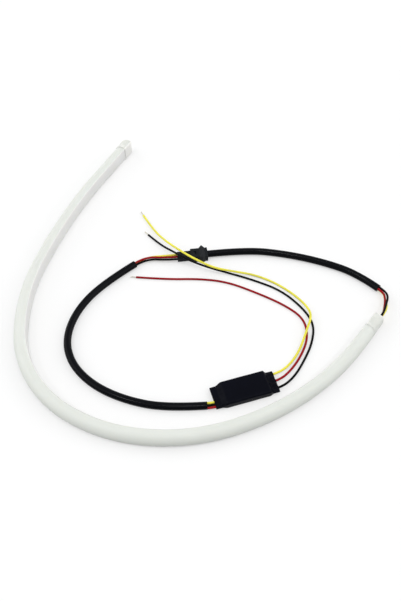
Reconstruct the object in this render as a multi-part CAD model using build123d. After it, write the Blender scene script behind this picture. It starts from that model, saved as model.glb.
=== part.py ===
from build123d import *
import os
from math import cos, degrees, pi, radians, sin, sqrt, tan

# Flexible daytime running light: a milky D-shaped sleeve laid in a loop on its
# edge, with its leads, in-line connector and control module beside it.
# Millimetres and degrees, +Z up. The origin is under the middle of the light.

# Light sleeve: flat base towards the inside of the loop, dome towards the outside
SLEEVE_DEPTH = 9.9
SLEEVE_HEIGHT = 13.4
DOME_RISE = 5.5
SLEEVE_EDGE = 1.6
BASE_WALL = 1.8
CHANNEL_DEPTH = 3.8
CHANNEL_HEIGHT = 8.8

# Route of the sleeve from its far tip: a straight run, six left-hand bends
# round the loop, and a straight run to the lead end
TIP_X = -70.16
TIP_Y = 154.19
TIP_HEADING = -118.0
FIRST_RUN = 47.4
FAR_BEND_RADIUS = 500.0
FAR_BEND_ANGLE = 13.3
SIDE_BEND_RADIUS = 176.6
SIDE_BEND_ANGLE = 22.3
NOSE_BEND_RADIUS = 97.0
NOSE_BEND_ANGLE = 50.5
NEAR_BEND_RADIUS = 125.0
NEAR_BEND_ANGLE = 21.6
FRONT_BEND_RADIUS = 150.0
FRONT_BEND_ANGLE = 27.6
LEAD_BEND_RADIUS = 207.0
LEAD_BEND_ANGLE = 34.3
LAST_RUN = 18.6

# Slip-over cap on the far tip
CAP_WALL = 0.6
CAP_LAP = 11.5
CAP_END = 2.0
CAP_CORNER = 3.2
CAP_BROW = 2.4

# Hollow boot at the lead end, tapered from the sleeve, with a tongue that fits the channel
BOOT_DEPTH = 9.0
BOOT_HEIGHT = 12.2
BOOT_RISE = 4.6
BOOT_EDGE = 1.4
BOOT_TAPER = 3.0
BOOT_LENGTH = 15.0
BOOT_WALL = 1.1
BOOT_CORNER = 2.4
BOOT_BROW = 1.6
TONGUE_LENGTH = 6.0
TONGUE_WALL = 0.5
MOUTH_OFFSET = 0.4
MOUTH_GAP = 0.2

# Flexible strip and the parts soldered on it
STRIP_SIDE_GAP = 0.3
STRIP_THICKNESS = 0.3
STRIP_INSET = 3.0
LED_PITCH = 16.0
LED_LENGTH = 2.8
LED_HEIGHT = 3.5
LED_THICKNESS = 0.8
RESISTOR_LENGTH = 2.0
RESISTOR_HEIGHT = 1.2
RESISTOR_THICKNESS = 0.5
LEDS_PER_RESISTOR = 3

# Wires and cables
WIRE_DIAMETER = 1.8
CABLE_DIAMETER = 6.0
CORE_GAP = 0.35
BARE_DIAMETER = 1.1
BARE_LENGTH = 5.0
ARC_SHARE = 0.45

# Clearances
SEAT_GAP = 0.05
SLIDE_GAP = 0.1
WIRE_GAP = 0.1
ROW_GAP = 0.2

# In-line connector: place of the socket's back on the floor, and the way the plug points
CONNECTOR_X = 7.5
CONNECTOR_Y = 19.6
CONNECTOR_HEADING = 187.5
SOCKET_LENGTH = 14.5
SOCKET_WIDTH = 10.0
SOCKET_HEIGHT = 6.8
SOCKET_WALL = 1.0
SOCKET_BACK = 4.0
SOCKET_EDGE = 0.6
COLLAR_PLACE = 4.7
COLLAR_LENGTH = 4.6
COLLAR_RISE = 1.5
PLUG_REACH = 11.4
PLUG_EDGE = 0.4
WINDOW_INSET = 2.2
WINDOW_LENGTH = 2.6
WINDOW_WIDTH = 3.4
RIB_COUNT = 4
RIB_PITCH = 1.5
RIB_LENGTH = 0.7
RIB_WIDTH = 5.0
RIB_RISE = 0.5
RIB_INSET = 2.5
CONTACT_PITCH = 2.5
PIN_SIZE = 0.8
PIN_LENGTH = 11.0
PIN_START = 0.6
TERMINAL_START = 5.0
WIRE_DEPTH = 6.0

# Control module: middle of the near ear's end on the floor, and the way the module points
MODULE_X = 10.7
MODULE_Y = -118.6
MODULE_HEADING = 16.9
JACKET_WALL = 0.7
BODY_LENGTH = 32.5
BODY_WIDTH = 19.4
BODY_HEIGHT = 8.0
BODY_EDGE = 1.6
EAR_WIDTH = 18.0
NEAR_EAR = 4.0
NEAR_TAPER = 5.0
FAR_TAPER = 3.3
FAR_EAR = 4.5
BOARD_THICKNESS = 1.2
BOARD_INSET = 0.4
CHIP_SIZE = (5.0, 4.0, 1.6)
CHIP_PLACE = (13.0, 3.5)
TRANSISTOR_SIZE = (6.2, 5.6, 2.0)
TRANSISTOR_PLACE = 22.0
TRANSISTOR_PITCH = 7.4
CAPACITOR_DIAMETER = 5.0
CAPACITOR_HEIGHT = 4.2
CAPACITOR_PLACE = (12.0, -3.6)
CHIP_RESISTOR_SIZE = (2.0, 1.25, 0.6)
CHIP_RESISTOR_PLACE = 6.6
CHIP_RESISTOR_PITCH = 3.0
CHIP_RESISTOR_COUNT = 4
SOLDER_LAP = 2.5
FEED_ROW_MID = -4.4
SUPPLY_ROW = 6.0

# Routes of the cords over the floor, from end to end; ends that meet a piece are worked out from it
TAIL_START = (148.5, -17.3)
TAIL_POINTS = [(133.0, -1.8), (106.5, 10.7), (75.5, 19.7)]
TAIL_LAST_RUN = 34.0
FEED_START = (-54.0, 8.7)
FEED_POINTS = [(-77.0, -10.3), (-96.5, -35.8), (-104.0, -63.8), (-98.0, -87.3), (-80.0, -106.8),
               (-54.0, -119.8), (-23.0, -126.3)]
FEED_END = (6.5, -124.3)
LAMP_WIRE_INNER = 8.0
LAMP_ROW_GAP = 0.4
LAMP_WIRE_TURN = 5.0
LAMP_WIRE_OUT = 6.0
LAMP_WIRE_LAST_RUN = 6.0
LAMP_WIRE_BULGE = {
    "black": [(150.8, -36.0, 8.0), (154.0, -28.0, 6.0)],
    "red": [(149.8, -36.6, 6.0), (151.9, -28.5, 4.0)],
    "yellow": [(152.4, -37.0, 4.0), (152.3, -28.2, 1.8)],
}
FEED_WIRE_OUT = 7.6
FEED_WIRE_LAST_RUN = 11.0
MODULE_WIRE_FIRST_RUN = 4.6
MODULE_WIRE_TURN = 5.6
SUPPLY_WIRE_OUT = 2.5
FLOOR_WIRE = WIRE_DIAMETER / 2
SUPPLY_POINTS = {
    "yellow": [(69.0, -89.9, 1.3), (78.6, -75.8, FLOOR_WIRE), (84.6, -60.7, 6.3), (90.4, -46.1, 6.0),
               (87.0, -31.6, FLOOR_WIRE), (75.8, -19.1, FLOOR_WIRE), (61.6, -8.2, FLOOR_WIRE),
               (45.6, -1.5, 1.8), (28.8, -0.9, 5.2), (12.8, -0.5, 9.4), (-2.0, 5.3, 12.8), (-15.8, 16.0, 12.2),
               (-28.5, 31.7, 6.2), (-40.0, 48.9, FLOOR_WIRE), (-50.1, 67.2, FLOOR_WIRE)],
    "red": [(70.2, -93.9, 1.2), (79.5, -80.3, FLOOR_WIRE), (86.2, -63.8, FLOOR_WIRE),
            (84.6, -45.8, FLOOR_WIRE), (69.7, -32.3, FLOOR_WIRE), (46.9, -19.6, FLOOR_WIRE),
            (23.4, -8.7, FLOOR_WIRE), (0.0, -5.5, FLOOR_WIRE), (-26.5, -6.1, FLOOR_WIRE),
            (-52.5, -3.8, FLOOR_WIRE)],
    "black": [(72.5, -99.3, 1.4), (81.3, -84.8, FLOOR_WIRE), (89.0, -68.8, FLOOR_WIRE),
              (92.2, -51.3, FLOOR_WIRE), (84.5, -35.3, FLOOR_WIRE), (68.0, -17.5, FLOOR_WIRE),
              (45.6, -6.7, FLOOR_WIRE), (24.2, 1.1, FLOOR_WIRE), (6.6, 3.5, 5.6), (-8.8, 7.9, 9.6),
              (-21.4, 17.5, 8.8), (-33.6, 32.1, FLOOR_WIRE), (-44.5, 43.7, FLOOR_WIRE)],
}

# Order of the three wires at each end: side by side, one above the other, or round a cable's middle
LAMP_WIRE_LEVEL = {"black": 1, "red": 0, "yellow": -1}
CONTACT_LANE = {"yellow": 1, "red": 0, "black": -1}
FEED_LANE = {"yellow": 1, "black": 0, "red": -1}
SUPPLY_LANE = {"yellow": 1, "red": 0, "black": -1}
TAIL_CORE_ANGLE = {"red": 150.0, "black": 30.0, "yellow": 270.0}
FEED_CORE_ANGLE = {"black": 210.0, "red": 90.0, "yellow": 330.0}
COLOURS = ["red", "yellow", "black"]

# Values worked out from the driving dimensions
BENDS = [(FAR_BEND_RADIUS, FAR_BEND_ANGLE), (SIDE_BEND_RADIUS, SIDE_BEND_ANGLE),
         (NOSE_BEND_RADIUS, NOSE_BEND_ANGLE), (NEAR_BEND_RADIUS, NEAR_BEND_ANGLE),
         (FRONT_BEND_RADIUS, FRONT_BEND_ANGLE), (LEAD_BEND_RADIUS, LEAD_BEND_ANGLE)]
SLEEVE_MID = CAP_WALL + SLEEVE_HEIGHT / 2
STRIP_FACE = -SLEEVE_DEPTH / 2 + BASE_WALL + SEAT_GAP + STRIP_THICKNESS
CHANNEL_MID = -SLEEVE_DEPTH / 2 + BASE_WALL + CHANNEL_DEPTH / 2
STRIP_HEIGHT = CHANNEL_HEIGHT - 2 * STRIP_SIDE_GAP
CABLE_MID = CABLE_DIAMETER / 2
CORE_PITCH = WIRE_DIAMETER + CORE_GAP
CORE_CIRCLE = CORE_PITCH / sqrt(3)
FEED_ROW = WIRE_DIAMETER + ROW_GAP
LAMP_ROW = WIRE_DIAMETER + LAMP_ROW_GAP
PLUG_WIDTH = SOCKET_WIDTH - 2 * SOCKET_WALL - 2 * SLIDE_GAP
PLUG_HEIGHT = SOCKET_HEIGHT - 2 * SOCKET_WALL - 2 * SLIDE_GAP
CONNECTOR_LENGTH = SOCKET_LENGTH + PLUG_REACH
CONTACT_LEVEL = SOCKET_HEIGHT / 2
WIRE_BORE = WIRE_DIAMETER + 2 * WIRE_GAP
TERMINAL_SIZE = WIRE_BORE / sqrt(2) - SLIDE_GAP
EAR_HEIGHT = WIRE_BORE + 2 * JACKET_WALL
BODY_START = NEAR_EAR + NEAR_TAPER
BODY_STOP = BODY_START + BODY_LENGTH
MODULE_LENGTH = BODY_STOP + FAR_TAPER + FAR_EAR
BOARD_START = BODY_START + BOARD_INSET
BOARD_LENGTH = BODY_LENGTH - 2 * BOARD_INSET
BOARD_WIDTH = BODY_WIDTH - 2 * JACKET_WALL - 2 * BODY_EDGE
BOARD_TOP = JACKET_WALL + SEAT_GAP + BOARD_THICKNESS
EAR_MID = BOARD_TOP + SEAT_GAP + WIRE_DIAMETER / 2


def save(name, shape):
    """Write one node of the model."""
    export_step(shape, os.path.join("parts", name + ".step"))


# Route of the sleeve

def stretches():
    """The route as (length, bend radius), with no radius on the straight runs."""
    bends = [(radius * radians(angle), radius) for radius, angle in BENDS]
    return [(FIRST_RUN, None)] + bends + [(LAST_RUN, None)]


SLEEVE_LENGTH = sum(length for length, radius in stretches())


def advance(x, y, heading, length, radius):
    """Where a straight run or a left-hand bend of this length ends."""
    if radius is None:
        return x + length * cos(heading), y + length * sin(heading), heading
    turned = heading + length / radius
    x += radius * (sin(turned) - sin(heading))
    y += radius * (cos(heading) - cos(turned))
    return x, y, turned


def across(x, y, heading):
    """Plane across the sleeve: x towards the dome, y up, z back towards the far tip."""
    outward = (sin(heading), -cos(heading), 0)
    backward = (-cos(heading), -sin(heading), 0)
    return Plane((x, y, SLEEVE_MID), x_dir=outward, z_dir=backward)


def frame_at(place):
    """Plane across the sleeve at a distance along its route from the far tip."""
    at = (TIP_X, TIP_Y, radians(TIP_HEADING))
    for length, radius in stretches():
        step = min(place, length)
        at = advance(*at, step, radius)
        place -= step
    return across(*at)


def carry(section, begin, end):
    """A section carried along the route between two distances from the far tip."""
    at = (TIP_X, TIP_Y, radians(TIP_HEADING))
    done = 0.0
    body = Part()
    for length, radius in stretches():
        first = max(begin, done)
        last = min(end, done + length)
        if last > first:
            x, y, heading = advance(*at, first - done, radius)
            face = across(x, y, heading) * section
            if radius is None:
                body += extrude(face, last - first, dir=(cos(heading), sin(heading), 0))
            else:
                centre = (x - radius * sin(heading), y + radius * cos(heading), 0)
                body += revolve(face, Axis(centre, (0, 0, 1)), degrees((last - first) / radius))
        at = advance(*at, length, radius)
        done += length
    return body


# Sections and end rounding

def d_outline(depth, height, rise, edge):
    """D-shaped outline with its flat base at -x and its dome at +x."""
    shoulder = depth / 2 - rise
    flat = Polyline((shoulder, height / 2), (-depth / 2, height / 2),
                    (-depth / 2, -height / 2), (shoulder, -height / 2))
    dome = ThreePointArc((shoulder, -height / 2), (depth / 2, 0), (shoulder, height / 2))
    outline = make_face(flat + dome)
    return fillet(outline.vertices(), edge)


def sleeve_outline():
    return d_outline(SLEEVE_DEPTH, SLEEVE_HEIGHT, DOME_RISE, SLEEVE_EDGE)


def round_nosed(width, inner, outer, radius):
    """Flat outline from y = inner to y = outer with its two corners at the outer end rounded."""
    outline = Pos(0, (inner + outer) / 2) * Rectangle(width, abs(outer - inner))
    ends = outline.vertices().sort_by(Axis.Y)
    return fillet(ends[2:] if outer > inner else ends[:2], radius)


def rounded_end(depth, height, inner, outer, corner, brow):
    """A block from z = inner to z = outer, rounded at the outer end: upright corners, then top and bottom."""
    plan = Plane.XZ * round_nosed(depth, inner, outer, corner)
    side = Plane.YZ * round_nosed(height, inner, outer, brow)
    return extrude(plan, height / 2, both=True) & extrude(side, depth / 2, both=True)


# The light

def light_sleeve():
    section = sleeve_outline() - Pos(CHANNEL_MID, 0) * Rectangle(CHANNEL_DEPTH, CHANNEL_HEIGHT)
    return carry(section, 0, SLEEVE_LENGTH)


def flex_circuit():
    section = Pos(STRIP_FACE - STRIP_THICKNESS / 2, 0) * Rectangle(STRIP_THICKNESS, STRIP_HEIGHT)
    return carry(section, STRIP_INSET, SLEEVE_LENGTH - TONGUE_LENGTH - SEAT_GAP)


def on_strip(length, height, thickness, places):
    """Like parts soldered on the strip's outer face."""
    block = Pos(STRIP_FACE + thickness / 2, 0, 0) * Box(thickness, height, length)
    return Compound([frame_at(place) * block for place in places])


def led_places(first):
    last = SLEEVE_LENGTH - TONGUE_LENGTH - LAMP_WIRE_INNER - LED_LENGTH
    places = []
    while first < last:
        places.append(first)
        first += LED_PITCH
    return places


def strip_parts():
    start = STRIP_INSET + LED_LENGTH
    white = led_places(start)
    amber = led_places(start + LED_PITCH / 2)
    quarter = led_places(start + LED_PITCH / 4)[::LEDS_PER_RESISTOR]
    save("white_leds", on_strip(LED_LENGTH, LED_HEIGHT, LED_THICKNESS, white))
    save("amber_leds", on_strip(LED_LENGTH, LED_HEIGHT, LED_THICKNESS, amber))
    save("strip_resistors", on_strip(RESISTOR_LENGTH, RESISTOR_HEIGHT, RESISTOR_THICKNESS, quarter))


def far_end_cap():
    """Cap that slips over the far tip, closed and rounded at its end."""
    skin = offset(sleeve_outline(), CAP_WALL)
    cap = extrude(Pos(0, 0, -CAP_LAP) * skin, CAP_LAP + CAP_END)
    depth = SLEEVE_DEPTH + 2 * CAP_WALL
    height = SLEEVE_HEIGHT + 2 * CAP_WALL
    cap &= rounded_end(depth, height, -CAP_LAP, CAP_END, CAP_CORNER, CAP_BROW)
    cap -= extrude(Pos(0, 0, -CAP_LAP) * sleeve_outline(), CAP_LAP)
    return frame_at(0) * cap


def lead_end_boot():
    """Hollow boot on the lead end: its tongue fills the channel, its mouth lets the wires out."""
    outline = d_outline(BOOT_DEPTH, BOOT_HEIGHT, BOOT_RISE, BOOT_EDGE)
    boot = extrude(outline, -BOOT_LENGTH)
    boot &= rounded_end(BOOT_DEPTH, BOOT_HEIGHT, 0, -BOOT_LENGTH, BOOT_CORNER, BOOT_BROW)
    boot += loft([sleeve_outline(), Pos(0, 0, -BOOT_TAPER) * outline])
    hollow = BOOT_LENGTH - 2 * BOOT_WALL
    boot -= extrude(Pos(0, 0, -BOOT_WALL) * offset(outline, -BOOT_WALL), -hollow)
    mouth = WIRE_DIAMETER + 2 * MOUTH_GAP
    slot = Rectangle(mouth, 2 * LAMP_ROW + mouth)
    boot -= extrude(Pos(MOUTH_OFFSET, 0, -BOOT_LENGTH) * slot, 2 * BOOT_WALL)
    tongue = Rectangle(CHANNEL_DEPTH - 2 * SEAT_GAP, CHANNEL_HEIGHT - 2 * SEAT_GAP)
    boot += extrude(Pos(CHANNEL_MID, 0, 0) * tongue, TONGUE_LENGTH)
    passage = Rectangle(CHANNEL_DEPTH - 2 * SEAT_GAP - 2 * TONGUE_WALL,
                        CHANNEL_HEIGHT - 2 * SEAT_GAP - 2 * TONGUE_WALL)
    boot -= extrude(Pos(CHANNEL_MID, 0, -2 * BOOT_WALL) * passage, TONGUE_LENGTH + 2 * BOOT_WALL)
    return frame_at(SLEEVE_LENGTH) * boot


# Cords

def tube(name, points, diameter):
    """Round tube along straight runs joined by arcs as large as the runs allow."""
    points = [Vector(*point) for point in points]
    radii = []
    for before, corner, after in zip(points, points[1:], points[2:]):
        run_in = corner - before
        run_out = after - corner
        half_turn = radians(run_in.get_angle(run_out)) / 2
        radii.append(ARC_SHARE * min(run_in.length, run_out.length) / tan(half_turn))
    path = FilletPolyline(*points, radius=radii)
    solid = sweep(Plane(path @ 0, z_dir=path % 0) * Circle(diameter / 2), path=path)
    plain = pi * diameter ** 2 / 4 * path.length
    print(name, "length", round(path.length, 1), "volume / plain tube", round(solid.volume / plain, 4),
          "radii", [round(radius, 1) for radius in radii])
    save(name, solid)


def local_frame(x, y, heading):
    """Plane on the floor: x along the heading, y to its left, z up."""
    angle = radians(heading)
    return Plane((x, y, 0), x_dir=(cos(angle), sin(angle), 0), z_dir=(0, 0, 1))


def cable_frame(start, towards):
    """Plane on the floor at a cable's end, x into the cable."""
    along = Vector(*towards) - Vector(*start)
    return Plane((*start, 0), x_dir=(along.X, along.Y, 0), z_dir=(0, 0, 1))


def world(frame, x, y, z):
    """A point given in a frame, as plain numbers."""
    return tuple(frame.from_local_coords((x, y, z)))


CONNECTOR = local_frame(CONNECTOR_X, CONNECTOR_Y, CONNECTOR_HEADING)
MODULE = local_frame(MODULE_X, MODULE_Y, MODULE_HEADING)
TAIL_END = cable_frame(TAIL_START, TAIL_POINTS[0])
FEED_NEAR = cable_frame(FEED_START, FEED_POINTS[0])
FEED_FAR = cable_frame(FEED_END, FEED_POINTS[-1])


def core_place(angle):
    """Side and height of a core in a cable's end, three cores in a triangle."""
    return CORE_CIRCLE * cos(radians(angle)), CABLE_MID + CORE_CIRCLE * sin(radians(angle))


def on_floor(points, level):
    return [(x, y, level) for x, y in points]


def cables():
    tail = on_floor([TAIL_START] + TAIL_POINTS, CABLE_MID)
    tail += [world(CONNECTOR, -TAIL_LAST_RUN, 0, CONTACT_LEVEL), world(CONNECTOR, 0, 0, CONTACT_LEVEL)]
    tube("tail_cable", tail, CABLE_DIAMETER)
    tube("feed_cable", on_floor([FEED_START] + FEED_POINTS + [FEED_END], CABLE_MID), CABLE_DIAMETER)


def lamp_wire(colour):
    """From the strip through the boot, out of its mouth and round to the tail cable."""
    end = frame_at(SLEEVE_LENGTH)
    level = LAMP_WIRE_LEVEL[colour] * LAMP_ROW
    side, height = core_place(TAIL_CORE_ANGLE[colour])
    route = [world(end, CHANNEL_MID, level, LAMP_WIRE_INNER),
             world(end, CHANNEL_MID, level, -BOOT_WALL),
             world(end, MOUTH_OFFSET, level, LAMP_WIRE_TURN - BOOT_LENGTH),
             world(end, MOUTH_OFFSET, level, -LAMP_WIRE_OUT - BOOT_LENGTH),
             *LAMP_WIRE_BULGE[colour],
             world(TAIL_END, -LAMP_WIRE_LAST_RUN, -side, height),
             world(TAIL_END, 0, -side, height)]
    tube("lamp_wire_" + colour, route, WIRE_DIAMETER)


def feed_wire(colour):
    """From the plug's terminal to the feed cable."""
    lane = CONTACT_LANE[colour] * CONTACT_PITCH
    side, height = core_place(FEED_CORE_ANGLE[colour])
    route = [world(CONNECTOR, CONNECTOR_LENGTH - WIRE_DEPTH, -lane, CONTACT_LEVEL),
             world(CONNECTOR, CONNECTOR_LENGTH + FEED_WIRE_OUT, -lane, CONTACT_LEVEL),
             world(FEED_NEAR, -FEED_WIRE_LAST_RUN, -side, height),
             world(FEED_NEAR, 0, -side, height)]
    tube("feed_wire_" + colour, route, WIRE_DIAMETER)


def module_wire(colour):
    """From the feed cable through the near ear to the board, the cores side by side."""
    lane = FEED_LANE[colour]
    row = FEED_ROW_MID + lane * FEED_ROW
    route = [world(FEED_FAR, 0, -lane * FEED_ROW, EAR_MID),
             world(FEED_FAR, -MODULE_WIRE_FIRST_RUN, -lane * FEED_ROW, EAR_MID),
             world(MODULE, MODULE_WIRE_TURN, row, EAR_MID),
             world(MODULE, BOARD_START + SOLDER_LAP, row, EAR_MID)]
    tube("module_wire_" + colour, route, WIRE_DIAMETER)


def supply_wire(colour):
    """From the board through the far ear and over the floor to a stripped end."""
    row = SUPPLY_LANE[colour] * SUPPLY_ROW
    route = [world(MODULE, BOARD_START + BOARD_LENGTH - SOLDER_LAP, row, EAR_MID),
             world(MODULE, MODULE_LENGTH + SUPPLY_WIRE_OUT, row, EAR_MID)]
    route += SUPPLY_POINTS[colour]
    tube("supply_wire_" + colour, route, WIRE_DIAMETER)


def bare_wire_tips():
    """Stripped, tinned ends that carry on straight from the supply wires."""
    tips = []
    for colour in COLOURS:
        before, end = [Vector(*point) for point in SUPPLY_POINTS[colour][-2:]]
        tip = extrude(Circle(BARE_DIAMETER / 2), BARE_LENGTH)
        tips.append(Plane(end, z_dir=end - before) * tip)
    return Compound(tips)


# In-line connector, lying on the floor with its axis along the frame's x

def block(start, length, width, low, height):
    """Box from x = start, centred on the axis, from z = low."""
    return Pos(start + length / 2, 0, low + height / 2) * Box(length, width, height)


def contact_rows():
    return [lane * CONTACT_PITCH for lane in (-1, 0, 1)]


def socket_section(place, swell):
    """Outline of the socket at a place along it, swollen on its sides and top."""
    height = SOCKET_HEIGHT + swell
    outline = Rectangle(SOCKET_WIDTH + 2 * swell, height)
    return Plane((place, 0, height / 2), x_dir=(0, 1, 0), z_dir=(1, 0, 0)) * outline


def connector_socket():
    """Outer half: an open shell on a thick back, with a ridged grip collar and a latch window."""
    shell = block(0, SOCKET_LENGTH, SOCKET_WIDTH, 0, SOCKET_HEIGHT)
    shell = fillet(shell.edges().filter_by(Axis.X), SOCKET_EDGE)
    ridge = socket_section(COLLAR_PLACE, COLLAR_RISE)
    shell += loft([socket_section(COLLAR_PLACE - COLLAR_LENGTH / 2, 0), ridge], ruled=True)
    shell += loft([ridge, socket_section(COLLAR_PLACE + COLLAR_LENGTH / 2, 0)], ruled=True)
    wide = SOCKET_WIDTH - 2 * SOCKET_WALL
    tall = SOCKET_HEIGHT - 2 * SOCKET_WALL
    shell -= block(SOCKET_BACK, SOCKET_LENGTH, wide, SOCKET_WALL, tall)
    window = SOCKET_LENGTH - WINDOW_INSET - WINDOW_LENGTH
    shell -= block(window, WINDOW_LENGTH, WINDOW_WIDTH, SOCKET_HEIGHT / 2, SOCKET_HEIGHT)
    hole = block(PIN_START, SOCKET_BACK, PIN_SIZE, CONTACT_LEVEL - PIN_SIZE / 2, PIN_SIZE)
    for row in contact_rows():
        shell -= Pos(0, row, 0) * hole
    return CONNECTOR * shell


def connector_plug():
    """Inner half: slides into the socket, with wire bores, thumb ribs and a latch tooth."""
    low = SOCKET_WALL + SLIDE_GAP
    start = SOCKET_BACK + SLIDE_GAP
    length = CONNECTOR_LENGTH - start
    plug = block(start, length, PLUG_WIDTH, low, PLUG_HEIGHT)
    plug = fillet(plug.edges().filter_by(Axis.X), PLUG_EDGE)
    top = low + PLUG_HEIGHT
    tooth_end = SOCKET_LENGTH - WINDOW_INSET - SLIDE_GAP
    tooth_start = SOCKET_LENGTH - WINDOW_INSET - WINDOW_LENGTH + SLIDE_GAP
    wedge = Polyline((tooth_start, top), (tooth_end, top), (tooth_end, SOCKET_HEIGHT), close=True)
    plug += extrude(Plane.XZ * make_face(wedge), WINDOW_WIDTH / 2 - SLIDE_GAP, both=True)
    for rib in range(RIB_COUNT):
        place = SOCKET_LENGTH + RIB_INSET + rib * RIB_PITCH
        plug += block(place, RIB_LENGTH, RIB_WIDTH, top, RIB_RISE)
    bore = extrude(Plane.YZ * Circle(WIRE_BORE / 2), CONNECTOR_LENGTH)
    for row in contact_rows():
        plug -= Pos(start, row, CONTACT_LEVEL) * bore
    return CONNECTOR * plug


def socket_pins():
    pin = block(PIN_START, PIN_LENGTH, PIN_SIZE, CONTACT_LEVEL - PIN_SIZE / 2, PIN_SIZE)
    return Compound([CONNECTOR * (Pos(0, row, 0) * pin) for row in contact_rows()])


def plug_terminals():
    """Box terminals that take the pins and are crimped on the feed wires."""
    length = CONNECTOR_LENGTH - WIRE_DEPTH - TERMINAL_START
    low = CONTACT_LEVEL - TERMINAL_SIZE / 2
    sleeve = block(TERMINAL_START, length, TERMINAL_SIZE, low, TERMINAL_SIZE)
    entry = PIN_START + PIN_LENGTH + SLIDE_GAP - TERMINAL_START
    opening = PIN_SIZE + 2 * SEAT_GAP
    sleeve -= block(TERMINAL_START, entry, opening, CONTACT_LEVEL - opening / 2, opening)
    return Compound([CONNECTOR * (Pos(0, row, 0) * sleeve) for row in contact_rows()])


# Control module, along its own frame's x

def belt(ear, body, ear_mid, body_mid):
    """Outline along the module that swells from the ears' half width to the body's."""
    stations = [0, NEAR_EAR, BODY_START, BODY_STOP, BODY_STOP + FAR_TAPER, MODULE_LENGTH]
    mids = [ear_mid, ear_mid, body_mid, body_mid, ear_mid, ear_mid]
    halves = [ear, ear, body, body, ear, ear]
    upper = [(x, mid + half) for x, mid, half in zip(stations, mids, halves)]
    lower = [(x, mid - half) for x, mid, half in zip(stations, mids, halves)]
    return make_face(Polyline(*upper, *reversed(lower), close=True))


def jacket_form(inset):
    """The shrunk jacket's form, drawn in by an inset: body, tapers and flattened ears."""
    wide = BODY_WIDTH / 2 - inset
    tall = BODY_HEIGHT / 2 - inset
    middle = Plane((0, 0, BODY_HEIGHT / 2), x_dir=(0, 1, 0), z_dir=(1, 0, 0))
    form = extrude(middle * RectangleRounded(2 * wide, 2 * tall, BODY_EDGE), MODULE_LENGTH)
    form &= extrude(belt(EAR_WIDTH / 2 - inset, wide, 0, 0), BODY_HEIGHT)
    side = Plane.XZ * belt(EAR_HEIGHT / 2 - inset, tall, EAR_MID, BODY_HEIGHT / 2)
    return form & extrude(side, BODY_WIDTH / 2, both=True)


def module_jacket():
    return MODULE * (jacket_form(0) - jacket_form(JACKET_WALL))


def module_board():
    low = BOARD_TOP - BOARD_THICKNESS
    return MODULE * block(BOARD_START, BOARD_LENGTH, BOARD_WIDTH, low, BOARD_THICKNESS)


def on_board(size, x, y):
    """A part that stands on the board."""
    length, width, height = size
    return MODULE * (Pos(BOARD_START + x, y, BOARD_TOP + height / 2) * Box(length, width, height))


def module_parts():
    save("module_chip", on_board(CHIP_SIZE, *CHIP_PLACE))
    pair = [on_board(TRANSISTOR_SIZE, TRANSISTOR_PLACE, side * TRANSISTOR_PITCH / 2) for side in (-1, 1)]
    save("module_transistors", Compound(pair))
    x, y = CAPACITOR_PLACE
    can = extrude(Circle(CAPACITOR_DIAMETER / 2), CAPACITOR_HEIGHT)
    save("module_capacitor", MODULE * (Pos(BOARD_START + x, y, BOARD_TOP) * can))
    middle = (CHIP_RESISTOR_COUNT - 1) / 2
    row = [on_board(CHIP_RESISTOR_SIZE, CHIP_RESISTOR_PLACE, (step - middle) * CHIP_RESISTOR_PITCH)
           for step in range(CHIP_RESISTOR_COUNT)]
    save("module_resistors", Compound(row))


def main():
    os.makedirs("parts", exist_ok=True)
    save("light_sleeve", light_sleeve())
    save("flex_circuit", flex_circuit())
    strip_parts()
    save("far_end_cap", far_end_cap())
    save("lead_end_boot", lead_end_boot())
    cables()
    for colour in COLOURS:
        lamp_wire(colour)
        feed_wire(colour)
        module_wire(colour)
        supply_wire(colour)
    save("bare_wire_tips", bare_wire_tips())
    save("connector_socket", connector_socket())
    save("connector_plug", connector_plug())
    save("socket_pins", socket_pins())
    save("plug_terminals", plug_terminals())
    save("module_jacket", module_jacket())
    save("module_board", module_board())
    module_parts()


main()
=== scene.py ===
from math import atan2, cos, pi, radians, sin, sqrt

import bmesh
import bpy
from bpy.props import FloatProperty, FloatVectorProperty, IntProperty, PointerProperty
from mathutils import Euler, Matrix, Vector, noise


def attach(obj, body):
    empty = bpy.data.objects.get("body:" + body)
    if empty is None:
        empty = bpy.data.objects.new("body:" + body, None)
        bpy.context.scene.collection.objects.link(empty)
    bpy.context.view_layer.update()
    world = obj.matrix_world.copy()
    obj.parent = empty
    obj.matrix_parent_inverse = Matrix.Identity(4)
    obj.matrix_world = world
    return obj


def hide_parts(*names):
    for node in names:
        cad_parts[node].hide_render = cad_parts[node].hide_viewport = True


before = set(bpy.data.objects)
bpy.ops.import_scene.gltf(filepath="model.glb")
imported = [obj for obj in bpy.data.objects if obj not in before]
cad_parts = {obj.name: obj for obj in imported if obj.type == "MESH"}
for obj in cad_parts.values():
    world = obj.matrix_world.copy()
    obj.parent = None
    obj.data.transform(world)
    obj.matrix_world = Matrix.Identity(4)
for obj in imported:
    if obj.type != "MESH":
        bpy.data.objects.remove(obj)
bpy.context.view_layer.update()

bl_info = {
    "name": "Daytime running light",
    "version": (1, 0, 0),
    "blender": (4, 5, 0),
    "location": "View3D > Sidebar > Running light",
    "description": "A bent silicone light with its leads, connector and control module",
    "category": "Object",
}

# The sleeve's route from its far tip: left-hand bends as (radius in metres, angle in degrees)
SLEEVE_BENDS = [(0.5, 13.3), (0.1766, 22.3), (0.097, 50.5), (0.125, 21.6), (0.15, 27.6), (0.207, 34.3)]

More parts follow.
